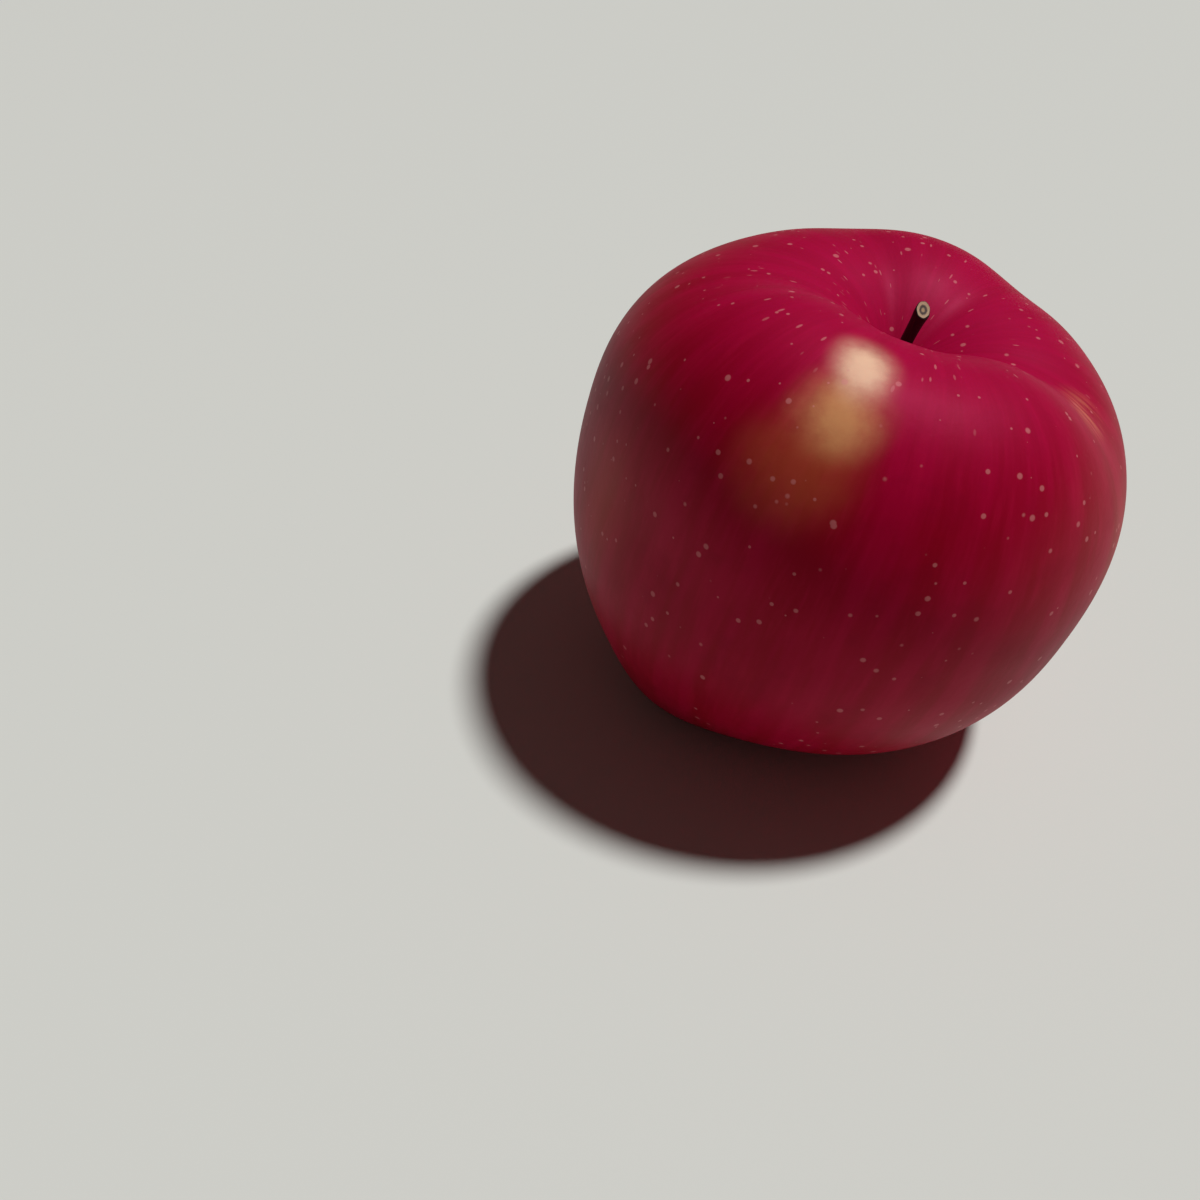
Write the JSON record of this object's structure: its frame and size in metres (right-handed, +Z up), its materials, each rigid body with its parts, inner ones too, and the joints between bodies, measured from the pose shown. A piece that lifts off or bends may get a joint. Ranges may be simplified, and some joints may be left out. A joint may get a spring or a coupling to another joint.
{
  "type": "apple",
  "caption": "Round, slightly lopsided red apple with a short stalk in a deep cavity and a dried calyx in the base, resting on flat spots of its lobes.",
  "frame": {"origin": "middle of the apple's outline seen from above, on the surface it rests on", "axes": "+Z up from the surface it rests on, -Y towards the side that the front view shows, +X to that view's right"},
  "size_m": [0.0774, 0.0802, 0.07],
  "materials": {
    "skin": "satin, waxy fruit skin, deep crimson with a cream patch and pale dots",
    "stalk": "dry dark brown stalk with a paler cut end",
    "calyx": "dried, papery brown sepals"
  },
  "bodies": {
    "root": {"fruit": "skin", "stalk": "stalk", "calyx": "calyx"}
  },
  "joints": []
}
